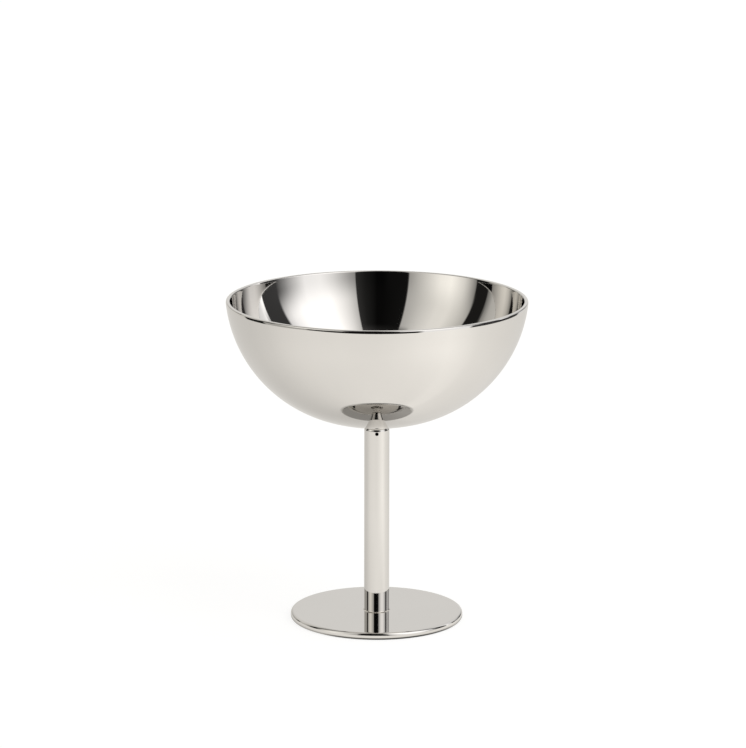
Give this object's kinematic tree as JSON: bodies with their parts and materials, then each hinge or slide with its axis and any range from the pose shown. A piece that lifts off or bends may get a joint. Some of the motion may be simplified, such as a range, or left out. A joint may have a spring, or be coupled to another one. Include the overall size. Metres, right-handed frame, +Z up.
{
  "type": "ice cream cup",
  "caption": "Footed metal ice cream cup: a deep rounded bowl on a slim hollow stem with a vent hole, standing on a flat round foot.",
  "frame": {"origin": "centre of the foot's flat underside, on the surface that the cup stands on", "axes": "+Z up along the cup's axis; -Y is the front, where the stem's vent hole is; +X to the right"},
  "size_m": [0.0998, 0.0998, 0.1085],
  "materials": {
    "polished_steel": "mirror polished stainless steel",
    "weld_metal": "polished weld bead"
  },
  "bodies": {
    "root": {"bowl": "polished_steel", "stem": "polished_steel", "foot": "polished_steel", "foot_weld": "weld_metal"}
  },
  "joints": []
}
